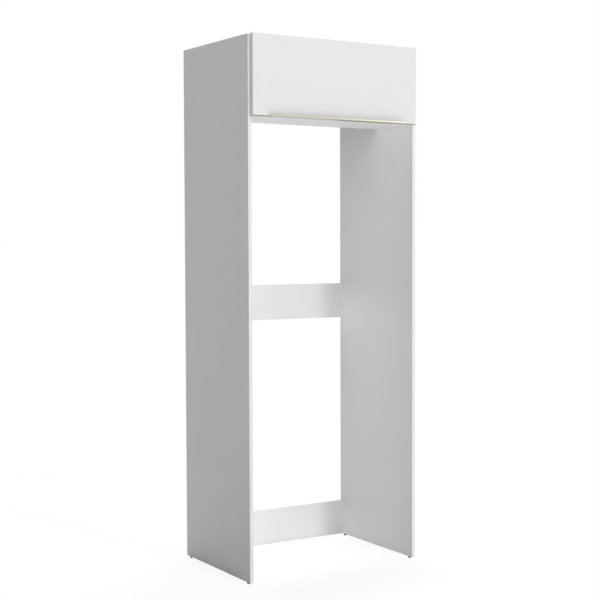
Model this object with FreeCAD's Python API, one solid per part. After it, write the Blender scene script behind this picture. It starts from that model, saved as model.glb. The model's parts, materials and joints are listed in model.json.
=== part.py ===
import FreeCAD, Part
import math
import os

# Fridge housing cabinet: two tall side panels, a shallow top box closed by a lift-up flap, two rear rails.
# Millimetres. X to the right, Y from front to back, Z up. The origin is on the floor, at the middle of the
# outer box, which runs from the handle's nose to the back edges of the side panels.

Vector = FreeCAD.Vector
ALONG_X = Vector(1, 0, 0)
ALONG_Y = Vector(0, 1, 0)
ALONG_Z = Vector(0, 0, 1)

# Carcass
width = 800.0
side_height = 2174.0
side_depth = 582.0
board = 15.0
edge_band = 0.5
box_height = 320.0
box_depth = 280.0
back_thickness = 3.0
back_clearance = 0.3
rail_height = 157.0
mid_rail_rise = 1010.0

# Feet
foot_height = 8.0
foot_radius = 6.0
foot_inset = 28.0
foot_edge_radius = 1.5
foot_spigot_length = 22.0
foot_rib_radius = 3.0
foot_rib_count = 3
foot_core_radius = 2.4
foot_tip_radius = 1.7

# Flap and its handle profile
door_thickness = 18.0
door_gap = 3.0
door_reveal = 11.5
door_top_proud = 2.0
door_bottom_rise = 2.5
handle_wall = 2.5
lip_length = 640.0
lip_reach = 24.0
lip_corner = 1.0
nose_height = 8.0
handle_screw_count = 6
handle_screw_end = 45.0
handle_screw_radius = 1.75
handle_screw_length = 18.0
handle_screw_head_radius = 3.4
handle_screw_tip_radius = 0.5
bumper_radius = 4.0
bumper_round = 2.0
bumper_inset = 60.0
bumper_clearance = 0.2

# Cup hinges
hinge_inset = 90.0
cup_radius = 17.5
cup_depth = 13.0
cup_wall = 1.0
cup_edge = 3.0
cup_flange = 1.2
cup_flange_overhang = 0.7
cup_wing_span = 62.0
cup_wing_height = 15.0
cup_screw_spacing = 48.0
pin_inset = 9.0
pin_drop = 7.0
pin_radius = 1.1
knuckle_radius = 2.1
knuckle_width = 8.0
ear_width = 2.7
ear_gap = 0.3
neck_back = 2.0
arm_height = 8.0
arm_width = 16.0
arm_wall = 1.4
arm_tail = 56.0
arm_mouth = 2.0
plate_thickness = 2.0
plate_setback = 37.0
plate_span = 50.0
plate_depth = 22.0
plate_corner = 5.5
rib_length = 30.0
rib_clearance = 0.2
plate_screw_spacing = 32.0
clamp_screw_back = 8.0
clamp_crown_radius = 2.9
clamp_tip_radius = 1.6

# Flap stays: both studs lie at one distance from the hinge pin, so the stay turns half as far as the flap
stay_stud_distance = 190.0
door_stud_setback = 14.0
side_stud_drop = 31.0
stay_standoff = 15.0
stud_radius = 3.0
eye_radius = 6.0
eye_width = 9.0
eye_neck_radius = 4.0
eye_neck_length = 12.0
tube_radius = 6.5
tube_wall = 1.0
tube_floor = 2.0
tube_mouth_room = 10.0
guide_length = 8.0
guide_clearance = 0.3
rod_radius = 3.0
piston_length = 8.0
piston_clearance = 0.3
piston_rest = 4.0
bracket_wall = 1.5
side_bracket_height = 38.0
side_bracket_depth = 24.0
door_bracket_height = 26.0
door_bracket_width = 24.0
bracket_side_clearance = 0.3
stud_head_radius = 4.2
stud_head_length = 1.5

# Wall angles
angle_leg = 40.0
angle_width = 30.0
angle_wall = 2.0
angle_drop = 60.0
angle_hole_radius = 3.0
angle_hole_from_side = 25.0
angle_screw_spacing = 16.0

# Cam locks, bolts and dowels
cam_radius = 7.5
cam_length = 12.0
cam_distance = 24.0
cross_slot_reach = 4.5
cross_slot_radius = 0.6
bolt_thread_radius = 2.5
bolt_thread_length = 10.5
bolt_tip_radius = 1.8
bolt_tip_length = 0.8
bolt_shank_radius = 2.9
bolt_taper_length = 1.8
bolt_neck_radius = 1.8
bolt_neck_length = 3.5
bolt_head_radius = 3.0
bolt_head_length = 3.5
bolt_crown_radius = 2.4
joint_inset = 45.0
joint_pitch = 32.0
rail_dowel_pitch = 48.0
dowel_radius = 4.0
dowel_length = 30.0
dowel_in_side = 10.5
dowel_chamfer = 1.0

# Small screws and nails
screw_radius = 1.75
screw_length = 11.0
screw_tip_radius = 0.5
screw_head_radius = 3.2
screw_head_height = 1.6
screw_rim_height = 0.8
screw_crown_radius = 1.9
nail_radius = 0.8
nail_length = 18.0
nail_point_length = 1.6
nail_tip_radius = 0.2
nail_head_radius = 2.0
nail_head_height = 0.7
nail_count = 7
nail_end = 60.0

# Fits
hole_clearance = 0.05
hole_end_room = 0.5
running_clearance = 0.06

# Places and bores that follow from the sizes above
overall_depth = side_depth + door_gap + door_thickness + lip_reach
back_y = overall_depth / 2
front_y = back_y - side_depth
side_x = width / 2
inner_x = side_x - board
side_bottom = foot_height
side_top = foot_height + side_height
deck_bottom = side_top - box_height
deck_top = deck_bottom + board
roof_bottom = side_top - board
box_back = front_y + box_depth
door_back = front_y - door_gap
door_front = door_back - door_thickness
door_x = side_x - door_reveal
door_bottom = deck_bottom + door_bottom_rise
handle_bottom = door_bottom - handle_wall
door_top = side_top + door_top_proud
hinge_x = door_x - hinge_inset
pin_y = door_back - pin_inset
pin_z = door_top - pin_drop
cup_z = door_top - cup_edge - cup_radius
stay_x = inner_x - stay_standoff
arm_top = roof_bottom - plate_thickness
arm_bottom = arm_top - arm_height
plate_y = front_y + plate_setback
bolt_bore = bolt_head_radius + 2 * hole_clearance


def block(x0, x1, y0, y1, z0, z1):
    """Box between two corners."""
    return Part.makeBox(x1 - x0, y1 - y0, z1 - z0, Vector(x0, y0, z0))


def bar(base, direction, radius, length):
    """Round bar from its base point along a direction."""
    return Part.makeCylinder(radius, length, base, direction)


def turned(profile, base, direction):
    """Turned solid: the profile holds (distance along the axis, radius) pairs."""
    first = Vector(0, 0, profile[0][0])
    last = Vector(0, 0, profile[-1][0])
    rim = [Vector(radius, 0, along) for along, radius in profile]
    outline = Part.makePolygon([first] + rim + [last, first])
    solid = Part.Face(outline).revolve(Vector(0, 0, 0), ALONG_Z, 360)
    solid.Placement = FreeCAD.Placement(base, FreeCAD.Rotation(ALONG_Z, direction))
    return solid


def extruded(outline, path):
    """Prism over a closed outline of points."""
    return Part.Face(Part.makePolygon(outline + [outline[0]])).extrude(path)


def joined(shapes):
    """One solid from shapes that overlap or share faces."""
    return shapes[0].fuse(shapes[1:]).removeSplitter().Solids[0]


def carved(solid, tools):
    """The solid with every tool cut away."""
    return solid.cut(tools).Solids[0]


def mirrored(shape):
    """Copy on the other side of the middle plane."""
    return shape.mirror(Vector(0, 0, 0), ALONG_X)


def both_sides(shapes):
    """The shapes of the left side together with their copies on the right side."""
    return shapes + [mirrored(shape) for shape in shapes]


def shifted(shape, x, y, z):
    """Copy moved by an offset."""
    return shape.translated(Vector(x, y, z))


def spread(count, end):
    """Evenly spaced places across a width of two ends, from minus to plus."""
    step = 2 * end / (count - 1)
    return [-end + step * index for index in range(count)]


nodes = {}
holes = {}


def drill(node, tool):
    """Remember a hole that is cut into a node before it is written."""
    holes.setdefault(node, []).append(tool)


def drill_both(node_stem, tool):
    """The same hole in the left node and, mirrored, in the right one."""
    drill(node_stem + "_left", tool)
    drill(node_stem + "_right", mirrored(tool))


# Pan-head screw: base is under the head, direction points into the board.
def pan_screw(base, direction):
    profile = [
        (-screw_head_height, screw_crown_radius),
        (-screw_rim_height, screw_head_radius),
        (0.0, screw_head_radius),
        (0.0, screw_radius),
        (screw_length - screw_radius, screw_radius),
        (screw_length, screw_tip_radius),
    ]
    return turned(profile, base, direction)


def screw_hole(base, direction):
    """Hole for a pan-head screw, with room past its tip."""
    return bar(base, direction, screw_radius + hole_clearance, screw_length + hole_end_room)


# Boards of the carcass
def carcass():
    band_back = front_y + edge_band
    panel = block(-side_x, -inner_x, band_back, back_y, side_bottom, side_top)
    band = block(-side_x, -inner_x, front_y, band_back, side_bottom, side_top)
    nodes["side_panel_left"] = panel
    nodes["side_panel_right"] = mirrored(panel)
    nodes["side_edge_band_left"] = band
    nodes["side_edge_band_right"] = mirrored(band)
    for name, bottom in (("deck", deck_bottom), ("top", roof_bottom)):
        top = bottom + board
        nodes[name + "_panel"] = block(-inner_x, inner_x, band_back, box_back, bottom, top)
        nodes[name + "_edge_band"] = block(-inner_x, inner_x, front_y, band_back, bottom, top)
    back_x = inner_x - back_clearance
    nodes["back_panel"] = block(-back_x, back_x, box_back, box_back + back_thickness, deck_bottom, side_top)
    bands = []
    for name, rise in (("mid_rail", mid_rail_rise), ("lower_rail", 0.0)):
        low = side_bottom + rise
        high = low + rail_height
        nodes[name] = block(-inner_x, inner_x, back_y - board, back_y, low + edge_band, high - edge_band)
        bands.append(block(-inner_x, inner_x, back_y - board, back_y, low, low + edge_band))
        bands.append(block(-inner_x, inner_x, back_y - board, back_y, high - edge_band, high))
    nodes["rail_edge_bands"] = Part.makeCompound(bands)


# Nails of the back panel, driven into the back edges of the deck and the top
def back_nails():
    nails = []
    for node, level in (("deck_panel", deck_bottom + board / 2), ("top_panel", side_top - board / 2)):
        for x in spread(nail_count, inner_x - nail_end):
            head = Vector(x, box_back + back_thickness, level)
            profile = [
                (-nail_head_height, nail_head_radius),
                (0.0, nail_head_radius),
                (0.0, nail_radius),
                (nail_length - nail_point_length, nail_radius),
                (nail_length, nail_tip_radius),
            ]
            nails.append(turned(profile, head, -ALONG_Y))
            hole = bar(head, -ALONG_Y, nail_radius + hole_clearance, nail_length + hole_end_room)
            drill("back_panel", hole)
            drill(node, hole)
    nodes["back_panel_nails"] = Part.makeCompound(nails)


def cam_lock(centre, seat, face):
    """Round lock in a board's face, bored for the bolt's head and cross-slotted on top."""
    body = bar(seat, face, cam_radius - hole_clearance, cam_length)
    slot_reach = cam_radius + bolt_head_length
    slot = bar(centre + ALONG_X * bolt_head_length, -ALONG_X, bolt_bore, slot_reach)
    top = seat + face * cam_length
    cross = []
    for direction in (ALONG_X, face.cross(ALONG_X)):
        corner = top - direction * cross_slot_reach
        cross.append(bar(corner, direction, cross_slot_radius, 2 * cross_slot_reach))
    return carved(body, [slot] + cross)


def cam_bolt(mouth):
    """Bolt from the side panel to the cam; the mouth is where its axis meets the panel's face."""
    bolt_end = bolt_thread_length + cam_distance + bolt_head_length / 2
    neck_end = bolt_end - bolt_head_length
    neck_start = neck_end - bolt_neck_length
    profile = [
        (0.0, bolt_tip_radius),
        (bolt_tip_length, bolt_thread_radius),
        (bolt_thread_length, bolt_thread_radius),
        (bolt_thread_length, bolt_shank_radius),
        (neck_start - bolt_taper_length, bolt_shank_radius),
        (neck_start, bolt_neck_radius),
        (neck_end, bolt_neck_radius),
        (neck_end, bolt_head_radius),
        (bolt_end, bolt_crown_radius),
    ]
    return turned(profile, mouth - ALONG_X * bolt_thread_length, ALONG_X)


# One concealed joint at the left end of a board: cam in the board, bolt in the side panel.
# The face direction points out of the board face that the cam is set into.
def cam_joint(board_node, y, z, face):
    mouth = Vector(-inner_x, y, z)
    centre = mouth + ALONG_X * cam_distance
    seat = centre + face * (board / 2 - cam_length - hole_end_room)
    cam_hole = bar(seat, face, cam_radius, cam_length + hole_end_room)
    board_bore = bar(mouth, ALONG_X, bolt_bore, cam_distance)
    thread_bore = bolt_thread_radius + hole_clearance
    thread_hole = bar(mouth, -ALONG_X, thread_bore, bolt_thread_length + hole_end_room)
    for hole in (cam_hole, board_bore):
        drill(board_node, hole)
        drill(board_node, mirrored(hole))
    drill_both("side_panel", thread_hole)
    return cam_lock(centre, seat, face), cam_bolt(mouth)


def dowel_joint(board_node, y, z):
    """Dowel at the left end of a board, with its holes at both ends."""
    base = Vector(-inner_x - dowel_in_side, y, z)
    profile = [
        (0.0, dowel_radius - dowel_chamfer),
        (dowel_chamfer, dowel_radius),
        (dowel_length - dowel_chamfer, dowel_radius),
        (dowel_length, dowel_radius - dowel_chamfer),
    ]
    start = base - ALONG_X * hole_end_room
    hole = bar(start, ALONG_X, dowel_radius + hole_clearance, dowel_length + 2 * hole_end_room)
    drill(board_node, hole)
    drill(board_node, mirrored(hole))
    drill_both("side_panel", hole)
    return turned(profile, base, ALONG_X)


# Cams, bolts and dowels of the deck, the top and the two rails
def carcass_joints():
    cams = []
    bolts = []
    dowels = []
    places = []
    for node, level in (("deck_panel", deck_bottom + board / 2), ("top_panel", roof_bottom + board / 2)):
        for y, step in ((front_y + joint_inset, joint_pitch), (box_back - joint_inset, -joint_pitch)):
            places.append((node, y, level, ALONG_Z))
            dowels.append(dowel_joint(node, y + step, level))
    for node, rise in (("mid_rail", mid_rail_rise), ("lower_rail", 0.0)):
        level = side_bottom + rise + rail_height / 2
        places.append((node, back_y - board / 2, level, ALONG_Y))
        for step in (-rail_dowel_pitch, rail_dowel_pitch):
            dowels.append(dowel_joint(node, back_y - board / 2, level + step))
    for node, y, level, face in places:
        cam, bolt = cam_joint(node, y, level, face)
        cams.append(cam)
        bolts.append(bolt)
    nodes["cam_locks"] = Part.makeCompound(both_sides(cams))
    nodes["cam_bolts"] = Part.makeCompound(both_sides(bolts))
    nodes["dowels"] = Part.makeCompound(both_sides(dowels))


# Push-in feet under the side panels, with a ribbed spigot in the board's bottom edge
def feet():
    x = -side_x + board / 2
    step = foot_spigot_length / (foot_rib_count + 1)
    profile = [
        (0.0, foot_radius - foot_edge_radius),
        (foot_edge_radius, foot_radius),
        (foot_height, foot_radius),
        (foot_height, foot_core_radius),
    ]
    for index in range(foot_rib_count):
        level = foot_height + step * (index + 1)
        profile.append((level, foot_rib_radius))
        profile.append((level, foot_core_radius))
    profile.append((foot_height + foot_spigot_length, foot_tip_radius))
    bore = foot_rib_radius + hole_clearance
    hole = bar(Vector(x, 0, side_bottom), ALONG_Z, bore, foot_spigot_length + hole_end_room)
    for place, y in (("front", front_y + foot_inset), ("back", back_y - foot_inset)):
        foot = turned(profile, Vector(x, y, 0), ALONG_Z)
        nodes["foot_" + place + "_left"] = foot
        nodes["foot_" + place + "_right"] = mirrored(foot)
        drill_both("side_panel", shifted(hole, 0, y, 0))


# Flap panel and the bands on its four edges
def flap():
    core_x = door_x - edge_band
    core_bottom = door_bottom + edge_band
    core_top = door_top - edge_band
    core = block(-core_x, core_x, door_front, door_back, core_bottom, core_top)
    low = block(-door_x, door_x, door_front, door_back, door_bottom, core_bottom)
    high = block(-door_x, door_x, door_front, door_back, core_top, door_top)
    left = block(-door_x, -core_x, door_front, door_back, core_bottom, core_top)
    nodes["flap_door"] = core
    nodes["flap_edge_bands"] = Part.makeCompound([low, high, left, mirrored(left)])
    bumper_z = door_bottom + (deck_top - door_bottom) / 2
    bumper_height = door_gap - bumper_clearance
    bumper_base = Vector(-door_x + bumper_inset, door_back, bumper_z)
    bumper = bar(bumper_base, ALONG_Y, bumper_radius, bumper_height)
    rim = [edge for edge in bumper.Edges if edge.BoundBox.YMin > door_back + bumper_height / 2]
    nodes["flap_bumpers"] = Part.makeCompound(both_sides([bumper.makeFillet(bumper_round, rim)]))


def lip_section():
    """Section of the handle's lip at its left end: a flat web and an upturned nose with a round tip."""
    nose_front = door_front - lip_reach
    nose_back = nose_front + handle_wall
    nose_middle = nose_front + handle_wall / 2
    nose_top = handle_bottom + nose_height
    tip_base = nose_top - handle_wall / 2
    outer_y = nose_front + lip_corner
    outer_z = handle_bottom + lip_corner
    inner_y = nose_back + lip_corner
    inner_z = door_bottom + lip_corner
    arc_step = lip_corner * math.sqrt(0.5)

    def at(y, z):
        return Vector(-lip_length / 2, y, z)

    def arc(first, middle, last):
        return Part.Arc(first, middle, last).toShape()

    edges = [
        Part.makeLine(at(door_front, handle_bottom), at(outer_y, handle_bottom)),
        arc(at(outer_y, handle_bottom), at(outer_y - arc_step, outer_z - arc_step), at(nose_front, outer_z)),
        Part.makeLine(at(nose_front, outer_z), at(nose_front, tip_base)),
        arc(at(nose_front, tip_base), at(nose_middle, nose_top), at(nose_back, tip_base)),
        Part.makeLine(at(nose_back, tip_base), at(nose_back, inner_z)),
        arc(at(nose_back, inner_z), at(inner_y - arc_step, inner_z - arc_step), at(inner_y, door_bottom)),
        Part.makeLine(at(inner_y, door_bottom), at(door_front, door_bottom)),
        Part.makeLine(at(door_front, door_bottom), at(door_front, handle_bottom)),
    ]
    return Part.Face(Part.Wire(edges))


# Gold profile: a base strip under the whole flap and a lip with an upturned, rounded nose in the middle
def handle():
    base = block(-door_x, door_x, door_front, door_back, handle_bottom, door_bottom)
    lip = lip_section().extrude(ALONG_X * lip_length)
    nodes["handle_profile"] = joined([base, lip])


# Countersunk screws that hold the profile under the flap
def handle_screws():
    screws = []
    middle_y = (door_front + door_back) / 2
    sink = handle_screw_head_radius - handle_screw_radius
    hole_radius = handle_screw_radius + hole_clearance
    profile = [
        (0.0, handle_screw_head_radius),
        (sink, handle_screw_radius),
        (handle_screw_length - handle_screw_radius, handle_screw_radius),
        (handle_screw_length, handle_screw_tip_radius),
    ]
    hole_profile = [
        (0.0, handle_screw_head_radius + hole_clearance),
        (sink, hole_radius),
        (handle_screw_length + hole_end_room, hole_radius),
    ]
    for x in spread(handle_screw_count, door_x - handle_screw_end):
        start = Vector(x, middle_y, handle_bottom)
        screws.append(turned(profile, start, ALONG_Z))
        hole = turned(hole_profile, start, ALONG_Z)
        for node in ("handle_profile", "flap_door", "flap_edge_bands"):
            drill(node, hole)
    nodes["handle_screws"] = Part.makeCompound(screws)


def cup_shell(pot, x):
    """The pot hollowed out, with its flange and two wings on the flap's back."""
    rim = bar(Vector(x, door_back, cup_z), ALONG_Y, cup_radius + cup_flange_overhang, cup_flange)
    wing_half = cup_wing_span / 2 - cup_wing_height / 2
    wing = block(
        x - wing_half, x + wing_half, door_back, door_back + cup_flange,
        cup_z - cup_wing_height / 2, cup_z + cup_wing_height / 2,
    )
    tips = []
    for side in (-1, 1):
        tip_centre = Vector(x + side * wing_half, door_back, cup_z)
        tips.append(bar(tip_centre, ALONG_Y, cup_wing_height / 2, cup_flange))
    hollow_base = Vector(x, door_back - cup_depth + cup_wall, cup_z)
    hollow = bar(hollow_base, ALONG_Y, cup_radius - cup_wall, cup_depth + cup_flange)
    return carved(joined([pot, rim, wing] + tips), [hollow])


def cup_ears(pot, x):
    """Two ears inside the pot, on both sides of the knuckle, that carry the pin."""
    ears = []
    for side in (-1, 1):
        near = x + side * (knuckle_width / 2 + ear_gap)
        far = near + side * ear_width
        ear = block(
            min(near, far), max(near, far),
            door_back - cup_depth, pin_y + knuckle_radius,
            pin_z - knuckle_radius, door_top,
        )
        ears.append(ear.common(pot))
    return ears


# Cup in the flap: a flanged pot with two wings and two ears that carry the pin
def hinge_cup():
    x = -hinge_x
    pot_base = Vector(x, door_back - cup_depth, cup_z)
    pot = bar(pot_base, ALONG_Y, cup_radius - hole_clearance, cup_depth)
    pin_length = knuckle_width + 2 * (ear_gap + ear_width)
    pin_start = Vector(x - pin_length / 2, pin_y, pin_z)
    pin = bar(pin_start, ALONG_X, pin_radius, pin_length)
    pin_hole = bar(pin_start, ALONG_X, pin_radius + hole_clearance, pin_length)
    cup = carved(joined([cup_shell(pot, x)] + cup_ears(pot, x)), [pin_hole])
    pot_hole = bar(pot_base, ALONG_Y, cup_radius, cup_depth)
    drill("flap_door", pot_hole)
    drill("flap_door", mirrored(pot_hole))
    screws = []
    for side in (-1, 1):
        head = Vector(x + side * cup_screw_spacing / 2, door_back + cup_flange, cup_z)
        screws.append(pan_screw(head, -ALONG_Y))
        hole = screw_hole(head, -ALONG_Y)
        cup = carved(cup, [hole])
        drill("flap_door", hole)
        drill("flap_door", mirrored(hole))
    return cup, pin, screws


# Arm: a knuckle on the pin, a neck down through the cup's mouth and a channel back under the top panel
def hinge_arm():
    x = -hinge_x
    half = knuckle_width / 2
    knuckle = bar(Vector(x - half, pin_y, pin_z), ALONG_X, knuckle_radius, knuckle_width)
    neck = block(x - half, x + half, pin_y - knuckle_radius, pin_y + neck_back, arm_bottom, pin_z)
    nose_back = front_y + arm_mouth + arm_wall
    nose = block(x - half, x + half, pin_y - knuckle_radius, nose_back, arm_bottom, arm_top)
    tail_y = front_y + arm_tail
    outer_half = arm_width / 2
    inner_half = outer_half - arm_wall
    channel = block(x - outer_half, x + outer_half, front_y + arm_mouth, tail_y, arm_bottom, arm_top)
    groove = block(x - inner_half, x + inner_half, nose_back, tail_y, arm_bottom + arm_wall, arm_top)
    arm = joined([knuckle, neck, nose, carved(channel, [groove])])
    pin_hole = bar(Vector(x - half, pin_y, pin_z), ALONG_X, pin_radius + running_clearance, knuckle_width)
    return carved(arm, [pin_hole])


# Mounting plate under the top panel: two wings and a rib that the arm's channel straddles
def hinge_plate():
    x = -hinge_x
    wing_half = plate_span / 2 - plate_corner
    corner_back = plate_depth / 2 - plate_corner
    wings = block(
        x - wing_half, x + wing_half,
        plate_y - plate_depth / 2, plate_y + plate_depth / 2,
        arm_top, roof_bottom,
    )
    tips = [block(
        x - plate_span / 2, x + plate_span / 2,
        plate_y - corner_back, plate_y + corner_back,
        arm_top, roof_bottom,
    )]
    for side in (-1, 1):
        for step in (-1, 1):
            centre = Vector(x + side * wing_half, plate_y + step * corner_back, arm_top)
            tips.append(bar(centre, ALONG_Z, plate_corner, plate_thickness))
    rib_half = arm_width / 2 - arm_wall - rib_clearance
    rib = block(
        x - rib_half, x + rib_half, plate_y - rib_length / 2, plate_y + rib_length / 2,
        arm_bottom + arm_wall, roof_bottom,
    )
    plate = joined([wings, rib] + tips)
    screws = []
    for side in (-1, 1):
        head = Vector(x + side * plate_screw_spacing / 2, plate_y, arm_top)
        screws.append(pan_screw(head, ALONG_Z))
        hole = screw_hole(head, ALONG_Z)
        plate = carved(plate, [hole])
        drill("top_panel", hole)
        drill("top_panel", mirrored(hole))
    return plate, screws


# Screw that clamps the arm to the plate's rib
def hinge_clamp():
    length = arm_height - arm_wall
    start = Vector(-hinge_x, plate_y + clamp_screw_back, arm_bottom)
    profile = [
        (-screw_head_height, clamp_crown_radius),
        (0.0, screw_head_radius),
        (0.0, screw_radius),
        (length, clamp_tip_radius),
    ]
    hole = bar(start, ALONG_Z, screw_radius + hole_clearance, length + hole_end_room)
    return turned(profile, start, ALONG_Z), hole


def hinges():
    cup, pin, cup_screws = hinge_cup()
    plate, plate_screws = hinge_plate()
    clamp_screw, clamp_hole = hinge_clamp()
    plate = carved(plate, [clamp_hole])
    arm = carved(hinge_arm(), [clamp_hole])
    for name, shape in (("cup", cup), ("pin", pin), ("arm", arm), ("plate", plate)):
        nodes["hinge_" + name + "_left"] = shape
        nodes["hinge_" + name + "_right"] = mirrored(shape)
    nodes["hinge_cup_screws"] = Part.makeCompound(both_sides(cup_screws))
    nodes["hinge_plate_screws"] = Part.makeCompound(both_sides(plate_screws))
    nodes["hinge_clamp_screws"] = Part.makeCompound(both_sides([clamp_screw]))


# Places of the two studs of a stay, in the left stay's plane
door_stud_back = pin_inset + door_stud_setback
door_stud_fall = math.sqrt(stay_stud_distance ** 2 - door_stud_back ** 2)
side_stud_back = math.sqrt(stay_stud_distance ** 2 - side_stud_drop ** 2)
door_stud = Vector(-stay_x, pin_y + door_stud_back, pin_z - door_stud_fall)
side_stud = Vector(-stay_x, pin_y + side_stud_back, pin_z - side_stud_drop)
stay_axis = (door_stud - side_stud).normalize()
stay_length = (door_stud - side_stud).Length


def stay_eye(centre, direction):
    """Eye end on a stud, with a neck that runs along the stay."""
    ring = bar(centre - ALONG_X * (eye_width / 2), ALONG_X, eye_radius, eye_width)
    neck = bar(centre, direction, eye_neck_radius, eye_neck_length)
    bore = bar(centre - ALONG_X * (eye_width / 2), ALONG_X, stud_radius + running_clearance, eye_width)
    return carved(joined([ring, neck]), [bore])


# Tube, guide bush, rod with its piston, and the two eye ends, closed length
def stays():
    tube_start = eye_neck_length
    tube_end = stay_length - eye_neck_length - tube_mouth_room
    bore_radius = tube_radius - tube_wall
    tube = bar(side_stud + stay_axis * tube_start, stay_axis, tube_radius, tube_end - tube_start)
    bore = bar(
        side_stud + stay_axis * (tube_start + tube_floor), stay_axis, bore_radius, tube_end - tube_start
    )
    guide_base = side_stud + stay_axis * (tube_end - guide_length)
    guide = bar(guide_base, stay_axis, bore_radius - hole_clearance, guide_length)
    guide_bore = bar(guide_base, stay_axis, rod_radius + guide_clearance, guide_length)
    piston_start = tube_start + tube_floor + piston_rest
    piston_radius = bore_radius - piston_clearance
    profile = [
        (piston_start, piston_radius - piston_clearance),
        (piston_start + piston_clearance, piston_radius),
        (piston_start + piston_length, piston_radius),
        (piston_start + piston_length, rod_radius),
        (stay_length - eye_neck_length, rod_radius),
    ]
    pieces = {
        "tube": carved(tube, [bore]),
        "guide": carved(guide, [guide_bore]),
        "rod": turned(profile, side_stud, stay_axis),
        "tube_eye": stay_eye(side_stud, stay_axis),
        "rod_eye": stay_eye(door_stud, -stay_axis),
    }
    for name, shape in pieces.items():
        nodes["stay_" + name + "_left"] = shape
        nodes["stay_" + name + "_right"] = mirrored(shape)


# Bracket on the side panel: a plate with a collar and a headed stud for the tube's eye
def stay_side_bracket():
    face_x = -inner_x
    plate = block(
        face_x, face_x + bracket_wall,
        side_stud.y - side_bracket_depth / 2, side_stud.y + side_bracket_depth / 2,
        side_stud.z - side_bracket_height / 2, side_stud.z + side_bracket_height / 2,
    )
    collar_end = -stay_x - eye_width / 2 - bracket_side_clearance
    stud_end = -stay_x + eye_width / 2 + bracket_side_clearance
    stud_base = Vector(face_x, side_stud.y, side_stud.z)
    collar = bar(stud_base, ALONG_X, stud_head_radius + bracket_wall, collar_end - face_x)
    stud = bar(stud_base, ALONG_X, stud_radius, stud_end - face_x)
    stud_head = bar(Vector(stud_end, side_stud.y, side_stud.z), ALONG_X, stud_head_radius, stud_head_length)
    bracket = joined([plate, collar, stud, stud_head])
    screws = []
    screw_reach = side_bracket_height / 2 - 2 * screw_head_radius + bracket_wall
    for step in (-1, 1):
        head = Vector(face_x + bracket_wall, side_stud.y, side_stud.z + step * screw_reach)
        screws.append(pan_screw(head, -ALONG_X))
        hole = screw_hole(head, -ALONG_X)
        bracket = carved(bracket, [hole])
        drill_both("side_panel", hole)
    return bracket, screws


# Bracket on the flap: a base, an upright with a round end and a headed stud for the rod's eye
def stay_door_bracket():
    upright_x = -stay_x + eye_width / 2 + bracket_side_clearance
    stud_tip = -stay_x - eye_width / 2 - bracket_side_clearance
    upright_half = eye_radius + bracket_wall
    upright = block(
        upright_x, upright_x + bracket_wall, door_back, door_stud.y,
        door_stud.z - upright_half, door_stud.z + upright_half,
    )
    upright_tip = bar(Vector(upright_x, door_stud.y, door_stud.z), ALONG_X, upright_half, bracket_wall)
    base = block(
        upright_x, upright_x + door_bracket_width, door_back, door_back + bracket_wall,
        door_stud.z - door_bracket_height / 2, door_stud.z + door_bracket_height / 2,
    )
    stud_base = Vector(stud_tip, door_stud.y, door_stud.z)
    stud = bar(stud_base, ALONG_X, stud_radius, upright_x + bracket_wall - stud_tip)
    stud_head = bar(stud_base, -ALONG_X, stud_head_radius, stud_head_length)
    bracket = joined([upright, upright_tip, base, stud, stud_head])
    screws = []
    screw_x = upright_x + door_bracket_width - 2 * screw_head_radius
    screw_reach = door_bracket_height / 2 - 2 * screw_head_radius + bracket_wall
    for step in (-1, 1):
        head = Vector(screw_x, door_back + bracket_wall, door_stud.z + step * screw_reach)
        screws.append(pan_screw(head, -ALONG_Y))
        hole = screw_hole(head, -ALONG_Y)
        bracket = carved(bracket, [hole])
        drill("flap_door", hole)
        drill("flap_door", mirrored(hole))
    return bracket, screws


def stay_brackets():
    for name, (shape, screws) in (("side", stay_side_bracket()), ("door", stay_door_bracket())):
        nodes["stay_" + name + "_bracket_left"] = shape
        nodes["stay_" + name + "_bracket_right"] = mirrored(shape)
        nodes["stay_" + name + "_bracket_screws"] = Part.makeCompound(both_sides(screws))


# Steel angles at the top of the back: one leg on the side panel, the other against the wall
def wall_angles():
    x = -inner_x
    low = side_top - angle_drop - angle_width / 2
    outline = [
        Vector(x, back_y - angle_leg, low),
        Vector(x + angle_wall, back_y - angle_leg, low),
        Vector(x + angle_wall, back_y - angle_wall, low),
        Vector(x + angle_leg, back_y - angle_wall, low),
        Vector(x + angle_leg, back_y, low),
        Vector(x, back_y, low),
    ]
    angle = extruded(outline, ALONG_Z * angle_width)
    middle = low + angle_width / 2
    wall_hole = bar(
        Vector(x + angle_hole_from_side, back_y - angle_wall, middle), ALONG_Y, angle_hole_radius, angle_wall
    )
    angle = carved(angle, [wall_hole])
    screws = []
    for step in (0, 1):
        y = back_y - angle_leg + angle_screw_spacing / 2 + step * angle_screw_spacing
        head = Vector(x + angle_wall, y, middle)
        screws.append(pan_screw(head, -ALONG_X))
        hole = screw_hole(head, -ALONG_X)
        angle = carved(angle, [hole])
        drill_both("side_panel", hole)
    nodes["wall_angle_left"] = angle
    nodes["wall_angle_right"] = mirrored(angle)
    nodes["wall_angle_screws"] = Part.makeCompound(both_sides(screws))


def drilled():
    """Cut the remembered holes; a node of several solids keeps them apart."""
    for node, tools in holes.items():
        solids = [solid.cut(tools).Solids[0] for solid in nodes[node].Solids]
        nodes[node] = solids[0] if len(solids) == 1 else Part.makeCompound(solids)


def main():
    carcass()
    back_nails()
    carcass_joints()
    feet()
    flap()
    handle()
    handle_screws()
    hinges()
    stays()
    stay_brackets()
    wall_angles()
    drilled()
    os.makedirs("parts", exist_ok=True)
    for name, shape in nodes.items():
        shape.exportStep("parts/" + name + ".step")
    print(len(nodes), "nodes; stay closed length", round(stay_length, 2))


main()
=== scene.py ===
import json
import math

import bmesh
import bpy
from mathutils import Matrix, Vector

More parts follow.
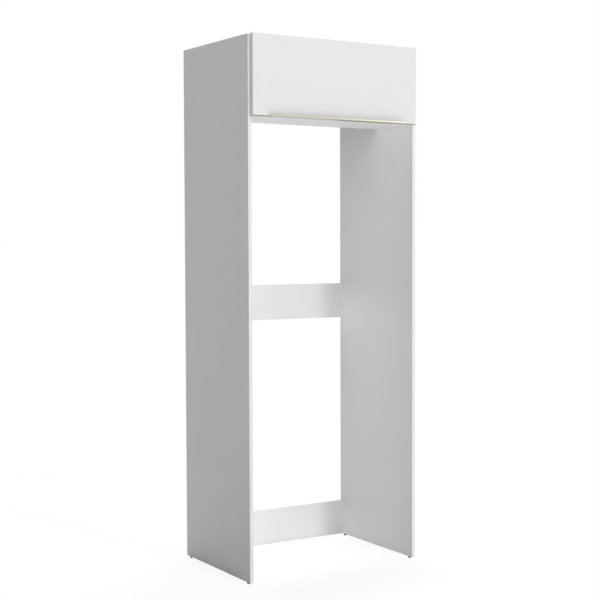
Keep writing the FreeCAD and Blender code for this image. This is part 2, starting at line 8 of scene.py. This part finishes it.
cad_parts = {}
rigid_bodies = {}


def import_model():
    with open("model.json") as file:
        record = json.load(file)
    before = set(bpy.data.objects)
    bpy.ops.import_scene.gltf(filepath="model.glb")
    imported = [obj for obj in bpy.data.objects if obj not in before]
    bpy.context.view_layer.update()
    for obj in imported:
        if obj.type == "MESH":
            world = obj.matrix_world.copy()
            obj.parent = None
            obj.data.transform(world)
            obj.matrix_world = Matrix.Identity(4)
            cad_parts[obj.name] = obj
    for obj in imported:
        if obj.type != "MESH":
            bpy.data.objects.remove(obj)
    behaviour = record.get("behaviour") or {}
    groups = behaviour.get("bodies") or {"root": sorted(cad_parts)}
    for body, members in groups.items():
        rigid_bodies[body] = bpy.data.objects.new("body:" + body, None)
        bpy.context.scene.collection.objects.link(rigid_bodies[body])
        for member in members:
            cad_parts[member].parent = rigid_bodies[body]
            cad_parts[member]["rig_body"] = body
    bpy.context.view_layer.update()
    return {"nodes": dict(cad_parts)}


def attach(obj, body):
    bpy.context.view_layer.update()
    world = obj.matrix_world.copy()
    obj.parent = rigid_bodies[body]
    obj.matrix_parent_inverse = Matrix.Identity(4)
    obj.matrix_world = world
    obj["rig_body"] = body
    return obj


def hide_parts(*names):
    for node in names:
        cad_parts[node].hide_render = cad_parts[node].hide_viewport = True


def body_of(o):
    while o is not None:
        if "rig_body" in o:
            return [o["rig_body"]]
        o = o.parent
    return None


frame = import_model()
nodes = frame["nodes"]

# Camera, worked out from the cabinet's edges in the photograph: lengths in metres, angles in degrees
image_pixels = 600.0
focal_pixels = 1331.0
axis_pixel_x = 386.0
axis_pixel_y = 302.0
camera_place = (-2.8643, -4.9267, 1.3838)
camera_yaw = 33.77
camera_pitch = -2.76
sensor_width = 36.0

# Stage: the floor bounces light as a white floor does, and to the eye it is lifted to the white of the world
stage_white = (1.0, 1.0, 1.0, 1.0)
floor_size = 400.0
floor_bounce = 0.90
floor_seen = 0.15
floor_glow = 0.88
floor_tone = (0.995, 1.0)
floor_clouds = 0.4

# Number of matt surfaces a ray has met, which is whole, lies below this only when it has met none
matt_limit = 0.5

# Lamps: name, share of what makes a white surface white, degrees to the right, degrees up, width in degrees
lamps = (
    ("top_lamp", 0.31, 0.0, 99.0, 10.0),
    ("key_lamp", 0.205, 10.0, 24.0, 9.4),
    ("front_lamp", 0.435, 0.0, 8.0, 100.0),
    ("side_lamp", 0.13, 44.0, 6.0, 22.0),
    ("back_lamp", 0.52, 130.0, 35.0, 40.0),
)

# Colours, from dark to light where there are two
board_tones = ((0.905, 0.905, 0.905, 1.0), (0.92, 0.92, 0.92, 1.0))
chip_tones = ((0.33, 0.22, 0.12, 1.0), (0.60, 0.45, 0.28, 1.0))
fibre_tones = ((0.25, 0.14, 0.07, 1.0), (0.36, 0.22, 0.12, 1.0))
gold_tones = ((0.414, 0.395, 0.314, 1.0), (0.453, 0.435, 0.354, 1.0))
# Painted shade: dark colour on the gold strip's front beside the lip, standing in for the shadow under the
# door
gold_painted_shade = (0.125, 0.115, 0.07, 1.0)
beech_tones = ((0.58, 0.36, 0.19, 1.0), (0.74, 0.52, 0.32, 1.0))
beech_fleck = (0.42, 0.24, 0.12, 1.0)
bumper_tones = ((0.80, 0.80, 0.78, 1.0), (0.88, 0.88, 0.86, 1.0))

# Roughness, from smooth to coarse where there are two
board_roughness = (0.50, 0.62)
chip_roughness = 0.85
tape_roughness = (0.32, 0.46)
fibre_roughness = 0.75
hardboard_front_roughness = 0.45
gold_roughness = (0.22, 0.32)
beech_roughness = (0.55, 0.7)
bumper_roughness = (0.18, 0.3)

# Gloss and clearness
board_gloss = 0.2
tape_gloss = 0.25
brush_stretch = 0.9
bumper_clearness = 0.6
bumper_index = 1.45

# Grain, in waves per metre, and along the three axes where it runs one way
board_clouds = 2.3
board_sheen = 160.0
board_pores = 900.0
chip_cells = 420.0
chip_dust = 1400.0
tape_clouds = 3.1
tape_lines_along = 6.0
tape_lines_across = 1500.0
hardboard_clouds = 2.7
fibre_grain = (260.0, 260.0, 900.0)
gold_clouds = 9.0
gold_lines = (7.0, 2600.0, 2600.0)
beech_grain = (35.0, 700.0, 700.0)
beech_flecks = (300.0, 2400.0, 2400.0)
bumper_haze = 800.0
metal_clouds_wider = 12
plain_clouds_wider = 20

# Depth of relief in metres, and how strongly it shows
chip_relief = 0.0004
pore_relief = 0.00003
tape_relief = 0.00001
fibre_relief = 0.0001
gold_relief = 0.00001
beech_relief = 0.0001
bumper_relief = 0.00002
usual_strength = 0.5
fibre_strength = 0.4
gold_strength = 0.6

# Shares and limits in the finishes; the lip's half length in metres, beyond which the gold strip gets its
# painted shade
facing_limit = 0.7
chip_spread = 1.3
dust_share = 0.6
fleck_limit = 0.62
fleck_share = 0.5
lip_half_length = 0.320

# Thin axis of each board
thin_axis = {
    "side_panel_left": 0, "side_panel_right": 0, "deck_panel": 2, "top_panel": 2,
    "mid_rail": 1, "lower_rail": 1, "flap_door": 1,
}

# Screw heads, in metres, and shares of a head's radius or height
screw_nodes = (
    "hinge_cup_screws", "hinge_plate_screws", "hinge_clamp_screws", "stay_side_bracket_screws",
    "stay_door_bracket_screws", "wall_angle_screws", "handle_screws",
)
recess_reach = 0.0018
recess_half_width = 0.0004
recess_depth = 0.0010
recess_end_share = 0.5
recess_rings = 3
rim_share = 0.4
dome_rings = 4
tip_taper = 3
wide_share = 0.97
sharp_angle = 40.0
weld_distance = 1e-6


# Node tree helpers
def plug(tree, value, socket):
    """Link a socket, or set a constant."""
    if isinstance(value, bpy.types.NodeSocket):
        tree.links.new(value, socket)
    else:
        socket.default_value = value


def add(tree, kind, inputs, **settings):
    """New node with its settings and inputs."""
    node = tree.nodes.new("ShaderNode" + kind)
    for key, value in settings.items():
        setattr(node, key, value)
    for key, value in inputs.items():
        plug(tree, value, node.inputs[key])
    return node


def math_node(tree, operation, first, second=0.0):
    return add(tree, "Math", {0: first, 1: second}, operation=operation).outputs[0]


def mixed(tree, share, first, second):
    """Colour between two colours."""
    return add(tree, "Mix", {0: share, 6: first, 7: second}, data_type="RGBA").outputs[2]


def blended(tree, share, first, second):
    """Value between two values."""
    return add(tree, "Mix", {0: share, 2: first, 3: second}).outputs[0]


def grey(tree, value):
    """Grey colour of a value."""
    return add(tree, "CombineColor", {0: value, 1: value, 2: value}).outputs[0]


def between(tree, value, low, high):
    """Value from 0 to 1 spread over a range."""
    return add(tree, "MapRange", {0: value, 3: low, 4: high}).outputs[0]


def new_material(name):
    material = bpy.data.materials.new(name)
    material.use_nodes = True
    tree = material.node_tree
    return material, tree, tree.nodes["Principled BSDF"]


def place(tree, scale=(1.0, 1.0, 1.0)):
    """Position on the piece in metres, stretched by a scale per axis."""
    coordinate = add(tree, "TexCoord", {}).outputs["Object"]
    return add(tree, "Mapping", {"Vector": coordinate, "Scale": scale}).outputs[0]


def noise(tree, vector, scale=1.0, detail=3.0, roughness=0.55):
    inputs = {"Vector": vector, "Scale": scale, "Detail": detail, "Roughness": roughness}
    return add(tree, "TexNoise", inputs).outputs[0]


def bump(tree, shader, height, depth, strength=usual_strength):
    """Relief of a depth in metres on the shader's normal."""
    node = add(tree, "Bump", {"Height": height, "Distance": depth, "Strength": strength})
    tree.links.new(node.outputs[0], shader.inputs["Normal"])


def normal_part(tree, axis):
    """Part of the piece's own normal along an axis."""
    normal = add(tree, "TexCoord", {}).outputs["Normal"]
    return add(tree, "SeparateXYZ", {0: normal}).outputs[axis]


def facing(tree, axis):
    """1 on faces that look along an axis, either way, and 0 on the others."""
    return math_node(tree, "GREATER_THAN", math_node(tree, "ABSOLUTE", normal_part(tree, axis)), facing_limit)


# Chipboard with a white melamine face: the faces lie across the board's thin axis, its bare edges show chips
def board_material(name, axis):
    material, tree, shader = new_material(name)
    where = place(tree)
    face = facing(tree, axis)
    clouds = noise(tree, where, board_clouds, detail=4.0)
    pores = noise(tree, where, board_pores, detail=2.0)
    white = mixed(tree, clouds, *board_tones)
    chips = add(tree, "TexVoronoi", {"Vector": where, "Scale": chip_cells}).outputs["Distance"]
    dust = noise(tree, where, chip_dust)
    chip_tone = mixed(tree, math_node(tree, "MULTIPLY", chips, chip_spread), *chip_tones)
    raw = mixed(tree, math_node(tree, "MULTIPLY", dust, dust_share), chip_tone, chip_tones[1])
    tree.links.new(mixed(tree, face, raw, white), shader.inputs["Base Color"])
    sheen = between(tree, noise(tree, where, board_sheen), *board_roughness)
    tree.links.new(blended(tree, face, chip_roughness, sheen), shader.inputs["Roughness"])
    shader.inputs["Specular IOR Level"].default_value = board_gloss
    depth = between(tree, face, chip_relief, pore_relief)
    bump(tree, shader, blended(tree, face, chips, pores), depth)
    return material


# Plastic edge tape, with fine scrape lines along its length
def tape_material(name, axis):
    material, tree, shader = new_material(name)
    stretch = [tape_lines_across, tape_lines_across, tape_lines_across]
    stretch[axis] = tape_lines_along
    lines = noise(tree, place(tree, stretch), detail=2.0)
    clouds = noise(tree, place(tree), tape_clouds)
    tree.links.new(mixed(tree, clouds, *board_tones), shader.inputs["Base Color"])
    tree.links.new(between(tree, lines, *tape_roughness), shader.inputs["Roughness"])
    shader.inputs["Specular IOR Level"].default_value = tape_gloss
    bump(tree, shader, lines, tape_relief)
    return material


# Hardboard: white in front, bare pressed fibre on the wall side and at its edges
def hardboard_material(name):
    material, tree, shader = new_material(name)
    front = math_node(tree, "LESS_THAN", normal_part(tree, 1), -facing_limit)
    fibres = noise(tree, place(tree, fibre_grain), detail=5.0, roughness=0.65)
    bare = mixed(tree, fibres, *fibre_tones)
    white = mixed(tree, noise(tree, place(tree), hardboard_clouds), *board_tones)
    tree.links.new(mixed(tree, front, bare, white), shader.inputs["Base Color"])
    rough = between(tree, front, fibre_roughness, hardboard_front_roughness)
    tree.links.new(rough, shader.inputs["Roughness"])
    bump(tree, shader, fibres, fibre_relief, fibre_strength)
    return material


# Brushed, gold-anodised aluminium: the brush marks run along the profile and spread reflections round it.
# Beside the lip its front faces carry a painted shade: a dark colour in place of the shadow under the door.
def gold_material(name):
    material, tree, shader = new_material(name)
    lines = noise(tree, place(tree, gold_lines))
    clouds = noise(tree, place(tree), gold_clouds)
    across = add(tree, "SeparateXYZ", {0: place(tree)}).outputs[0]
    # Painted shade: front faces beyond the lip's ends are darkened in place of the door's shadow
    beyond = math_node(tree, "GREATER_THAN", math_node(tree, "ABSOLUTE", across), lip_half_length)
    painted_shade_strip = math_node(tree, "MULTIPLY", beyond, facing(tree, 1))
    brushed = mixed(tree, clouds, *gold_tones)
    tree.links.new(mixed(tree, painted_shade_strip, brushed, gold_painted_shade), shader.inputs["Base Color"])
    shader.inputs["Metallic"].default_value = 1.0
    tree.links.new(between(tree, lines, *gold_roughness), shader.inputs["Roughness"])
    shader.inputs["Anisotropic"].default_value = brush_stretch
    around = add(tree, "Tangent", {}, direction_type="RADIAL", axis="X")
    tree.links.new(around.outputs[0], shader.inputs["Tangent"])
    bump(tree, shader, lines, gold_relief, gold_strength)
    return material


# Metal with a plated or cast surface
def metal_material(name, dark, light, roughness, grain, relief):
    material, tree, shader = new_material(name)
    where = place(tree)
    speckle = noise(tree, where, grain, detail=4.0)
    clouds = noise(tree, where, grain / metal_clouds_wider)
    tree.links.new(mixed(tree, clouds, dark, light), shader.inputs["Base Color"])
    shader.inputs["Metallic"].default_value = 1.0
    tree.links.new(between(tree, speckle, *roughness), shader.inputs["Roughness"])
    bump(tree, shader, speckle, relief)
    return material


# Paint or plastic with a fine grain
def plain_material(name, dark, light, roughness, grain, relief):
    material, tree, shader = new_material(name)
    where = place(tree)
    speckle = noise(tree, where, grain)
    clouds = noise(tree, where, grain / plain_clouds_wider)
    tree.links.new(mixed(tree, clouds, dark, light), shader.inputs["Base Color"])
    tree.links.new(between(tree, speckle, *roughness), shader.inputs["Roughness"])
    bump(tree, shader, speckle, relief)
    return material


# Beech dowel, with its grain and flecks along the dowel
def beech_material(name):
    material, tree, shader = new_material(name)
    grain = noise(tree, place(tree, beech_grain), detail=5.0, roughness=0.6)
    flecks = noise(tree, place(tree, beech_flecks), detail=2.0)
    wood = mixed(tree, grain, *beech_tones)
    share = math_node(tree, "MULTIPLY", math_node(tree, "GREATER_THAN", flecks, fleck_limit), fleck_share)
    tree.links.new(mixed(tree, share, wood, beech_fleck), shader.inputs["Base Color"])
    tree.links.new(between(tree, grain, *beech_roughness), shader.inputs["Roughness"])
    bump(tree, shader, grain, beech_relief)
    return material


# Milky soft plastic of the bumpers
def bumper_material(name):
    material, tree, shader = new_material(name)
    haze = noise(tree, place(tree), bumper_haze, detail=2.0)
    tree.links.new(mixed(tree, haze, *bumper_tones), shader.inputs["Base Color"])
    tree.links.new(between(tree, haze, *bumper_roughness), shader.inputs["Roughness"])
    shader.inputs["Transmission Weight"].default_value = bumper_clearness
    shader.inputs["IOR"].default_value = bumper_index
    bump(tree, shader, haze, bumper_relief)
    return material


def slot_finishes():
    """Finish of each material slot whose pieces all look alike."""
    return {
        "back_board": hardboard_material("hardboard"),
        "gold_aluminium": gold_material("gold_anodised"),
        "nickel_steel": metal_material(
            "nickel_plate", dark=(0.60, 0.58, 0.55, 1.0), light=(0.63, 0.61, 0.58, 1.0),
            roughness=(0.24, 0.30), grain=900.0, relief=0.000001
        ),
        "zinc_screw": metal_material(
            "zinc_plate", dark=(0.50, 0.51, 0.52, 1.0), light=(0.66, 0.66, 0.65, 1.0),
            roughness=(0.28, 0.42), grain=1500.0, relief=0.00001
        ),
        "zinc_cast": metal_material(
            "zinc_casting", dark=(0.36, 0.36, 0.37, 1.0), light=(0.50, 0.50, 0.50, 1.0),
            roughness=(0.38, 0.6), grain=1200.0, relief=0.00005
        ),
        "black_tube": plain_material(
            "black_lacquer", dark=(0.012, 0.012, 0.012, 1.0), light=(0.022, 0.022, 0.022, 1.0),
            roughness=(0.28, 0.42), grain=1300.0, relief=0.00002
        ),
        "chrome_rod": metal_material(
            "bright_steel", dark=(0.68, 0.68, 0.69, 1.0), light=(0.74, 0.74, 0.74, 1.0),
            roughness=(0.08, 0.14), grain=700.0, relief=0.0000005
        ),
        "dark_plastic": plain_material(
            "dark_plastic", dark=(0.035, 0.035, 0.036, 1.0), light=(0.055, 0.055, 0.056, 1.0),
            roughness=(0.42, 0.6), grain=1600.0, relief=0.00004
        ),
        "beech": beech_material("beech"),
        "soft_bumper": bumper_material("clear_bumper"),
    }


def finish_nodes():
    """Give each node its finish: boards by their thin axis, tapes by their length, the rest by slot."""
    boards = [board_material("melamine_board_" + letter, axis) for axis, letter in enumerate("xyz")]
    tape_level = tape_material("edge_tape_x", 0)
    tape_upright = tape_material("edge_tape_z", 2)
    by_slot = slot_finishes()
    for name, piece in nodes.items():
        slot = piece.data.materials[0].name.split(".")[0]
        if slot == "white_board":
            finish = boards[thin_axis[name]]
        elif slot == "edge_tape":
            finish = tape_upright if name.startswith("side") else tape_level
        else:
            finish = by_slot[slot]
        piece.data.materials[0] = finish


# Screws: the CAD screws give place, direction and size, and each gets a domed head with a cross recess
def solid_points(piece):
    """Corner points of each separate solid of a node."""
    shape = bmesh.new()
    shape.from_mesh(piece.data)
    bmesh.ops.remove_doubles(shape, verts=shape.verts, dist=weld_distance)
    waiting = set(shape.verts)
    groups = []
    for start in shape.verts:
        if start not in waiting:
            continue
        waiting.remove(start)
        border = [start]
        points = []
        while border:
            corner = border.pop()
            points.append(corner.co.copy())
            for edge in corner.link_edges:
                other = edge.other_vert(corner)
                if other in waiting:
                    waiting.remove(other)
                    border.append(other)
        groups.append(points)
    shape.free()
    return groups


def screw_sizes(points):
    """Seat of the head, outward direction and sizes of a screw that lies along a main axis."""
    low = Vector([min(point[axis] for point in points) for axis in range(3)])
    high = Vector([max(point[axis] for point in points) for axis in range(3)])
    along = max(range(3), key=lambda axis: high[axis] - low[axis])
    middle = (low + high) / 2
    radius = (high[along - 1] - low[along - 1]) / 2
    spread = []
    for point in points:
        side = point - middle
        side[along] = 0.0
        spread.append((point[along], side.length))
    wide = [place_along for place_along, away in spread if away > wide_share * radius]
    outward = 1.0 if sum(wide) / len(wide) > middle[along] else -1.0
    seat_along = min(wide) if outward > 0 else max(wide)
    head_top, tip = (high, low) if outward > 0 else (low, high)
    seat = middle.copy()
    seat[along] = seat_along
    direction = Vector((0.0, 0.0, 0.0))
    direction[along] = outward
    length = abs(seat_along - tip[along])
    past_half = [away for place_along, away in spread if abs(place_along - seat_along) > length / 2]
    shank = max(away for away in past_half if away < wide_share * radius)
    return seat, direction, radius, abs(head_top[along] - seat_along), length, shank


def screw_ring(shape, radius, dome, floor, edge_angle):
    """One ring of a screw in four quarters: a recess arm's floor and walls, then the head between arms."""
    ring = []
    gap = math.pi / 2 - 2 * edge_angle
    third = gap / 3
    steps = (
        (0.0, floor), (edge_angle, floor), (edge_angle, dome), (edge_angle + third, dome),
        (edge_angle + 2 * third, dome), (edge_angle + gap, dome), (edge_angle + gap, floor),
    )
    for quarter in range(4):
        for turn, height in steps:
            angle = turn + quarter * math.pi / 2
            ring.append(shape.verts.new((radius * math.cos(angle), radius * math.sin(angle), height)))
    return ring


def screw_rings(shape, radius, height, length, shank):
    """All rings from the recess to the tip; the seat of the head lies at zero height.
    A head without height is countersunk and tapers to the shank."""
    rim = rim_share * height
    end_angle = math.asin(recess_half_width / recess_reach)
    inner = recess_half_width * math.sqrt(2)

    def dome(away):
        return rim + (height - rim) * math.sqrt(max(0.0, 1 - (away / radius) ** 2))

    def floor(away):
        share = away / recess_reach
        return dome(away) - recess_depth * (1 - (1 - recess_end_share) * share)

    rings = []
    for index in range(recess_rings):
        away = inner + (recess_reach - inner) * index / (recess_rings - 1)
        rings.append(screw_ring(shape, away, dome(away), floor(away), math.asin(recess_half_width / away)))
    for index in range(dome_rings + 1):
        away = recess_reach + (radius - recess_reach) * math.sin(math.pi / 2 * index / dome_rings)
        rings.append(screw_ring(shape, away, dome(away), dome(away), end_angle))
    sink = 0.0 if height > 0 else radius - shank
    for away, level in ((radius, 0.0), (shank, -sink), (shank, shank - length), (shank / tip_taper, -length)):
        rings.append(screw_ring(shape, away, level, level, end_angle))
    bottom = shape.verts.new((0.0, 0.0, floor(0.0)))
    return rings, bottom


def add_screw(shape, points):
    """One screw, put where the CAD screw is."""
    seat, direction, radius, height, length, shank = screw_sizes(points)
    single = bmesh.new()
    rings, bottom = screw_rings(single, radius, height, length, shank)
    count = len(rings[0])
    for index in range(count):
        after = (index + 1) % count
        single.faces.new((bottom, rings[0][index], rings[0][after]))
        for inner, outer in zip(rings, rings[1:]):
            single.faces.new((inner[index], outer[index], outer[after], inner[after]))
    single.faces.new(rings[-1])
    bmesh.ops.remove_doubles(single, verts=single.verts, dist=weld_distance)
    bmesh.ops.recalc_face_normals(single, faces=single.faces)
    turn = direction.to_track_quat("Z", "Y").to_matrix().to_4x4()
    single.transform(Matrix.Translation(seat) @ turn)
    mesh = bpy.data.meshes.new("single_screw")
    single.to_mesh(mesh)
    single.free()
    shape.from_mesh(mesh)
    bpy.data.meshes.remove(mesh)


def make_screws():
    for name in screw_nodes:
        shape = bmesh.new()
        for points in solid_points(nodes[name]):
            add_screw(shape, points)
        for face in shape.faces:
            face.smooth = True
        for edge in shape.edges:
            edge.smooth = edge.calc_face_angle(0.0) < math.radians(sharp_angle)
        mesh = bpy.data.meshes.new(name + "_crossed")
        shape.to_mesh(mesh)
        shape.free()
        mesh.materials.append(nodes[name].data.materials[0])
        screws = bpy.data.objects.new(name + "_crossed", mesh)
        bpy.context.scene.collection.objects.link(screws)
        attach(screws, body_of(nodes[name])[0])
        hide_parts(name)


# Floor, world, lamps and camera
def background_rays(tree):
    """1 for rays that show the background: seen directly, in a reflection or through a clear piece.
    A ray that has met a matt surface isn't one of them, so the background adds no light."""
    path = add(tree, "LightPath", {}).outputs
    seen = math_node(tree, "MAXIMUM", path["Is Camera Ray"], path["Is Glossy Ray"])
    seen = math_node(tree, "MAXIMUM", seen, path["Is Transmission Ray"])
    return math_node(tree, "MULTIPLY", seen, math_node(tree, "LESS_THAN", path["Diffuse Depth"], matt_limit))


def make_floor():
    mesh = bpy.data.meshes.new("floor")
    shape = bmesh.new()
    bmesh.ops.create_grid(shape, x_segments=1, y_segments=1, size=floor_size / 2)
    shape.to_mesh(mesh)
    shape.free()
    floor = bpy.data.objects.new("floor", mesh)
    bpy.context.scene.collection.objects.link(floor)
    material = bpy.data.materials.new("floor_white")
    material.use_nodes = True
    tree = material.node_tree
    tree.nodes.clear()
    tone = between(tree, noise(tree, place(tree), floor_clouds, detail=2.0), *floor_tone)
    lit = add(tree, "BsdfDiffuse", {"Color": grey(tree, math_node(tree, "MULTIPLY", tone, floor_bounce))})
    seen_lit = add(tree, "BsdfDiffuse", {"Color": grey(tree, math_node(tree, "MULTIPLY", tone, floor_seen))})
    glow = add(tree, "Emission", {"Strength": floor_glow})
    seen = add(tree, "AddShader", {0: seen_lit.outputs[0], 1: glow.outputs[0]})
    both = add(tree, "MixShader", {0: background_rays(tree), 1: lit.outputs[0], 2: seen.outputs[0]})
    add(tree, "OutputMaterial", {0: both.outputs[0]})
    mesh.materials.append(material)


def make_world():
    world = bpy.data.worlds.new("studio")
    bpy.context.scene.world = world
    world.use_nodes = True
    tree = world.node_tree
    tree.nodes.clear()
    white = add(tree, "Background", {"Color": stage_white, "Strength": background_rays(tree)})
    add(tree, "OutputWorld", {0: white.outputs[0]})


def make_lamp(name, share, right, rise, spread):
    """Soft far lamp: right and rise are the angles to it, seen from in front of the cabinet."""
    lamp = bpy.data.lights.new(name, "SUN")
    lamp.energy = share * math.pi
    lamp.angle = math.radians(spread)
    holder = bpy.data.objects.new(name, lamp)
    turn = math.radians(right)
    up = math.radians(rise)
    towards = Vector((math.sin(turn) * math.cos(up), -math.cos(turn) * math.cos(up), math.sin(up)))
    holder.rotation_mode = "QUATERNION"
    holder.rotation_quaternion = towards.to_track_quat("Z", "Y")
    bpy.context.scene.collection.objects.link(holder)


def make_camera():
    data = bpy.data.cameras.new("camera")
    data.sensor_fit = "HORIZONTAL"
    data.sensor_width = sensor_width
    data.lens = focal_pixels / image_pixels * sensor_width
    data.shift_x = (image_pixels / 2 - axis_pixel_x) / image_pixels
    data.shift_y = (axis_pixel_y - image_pixels / 2) / image_pixels
    camera = bpy.data.objects.new("camera", data)
    camera.location = camera_place
    camera.rotation_euler = (math.radians(90 + camera_pitch), 0.0, math.radians(-camera_yaw))
    bpy.context.scene.collection.objects.link(camera)
    bpy.context.scene.camera = camera


finish_nodes()
make_screws()
make_floor()
make_world()
for lamp in lamps:
    make_lamp(*lamp)
make_camera()
bpy.context.scene.view_settings.view_transform = "Standard"
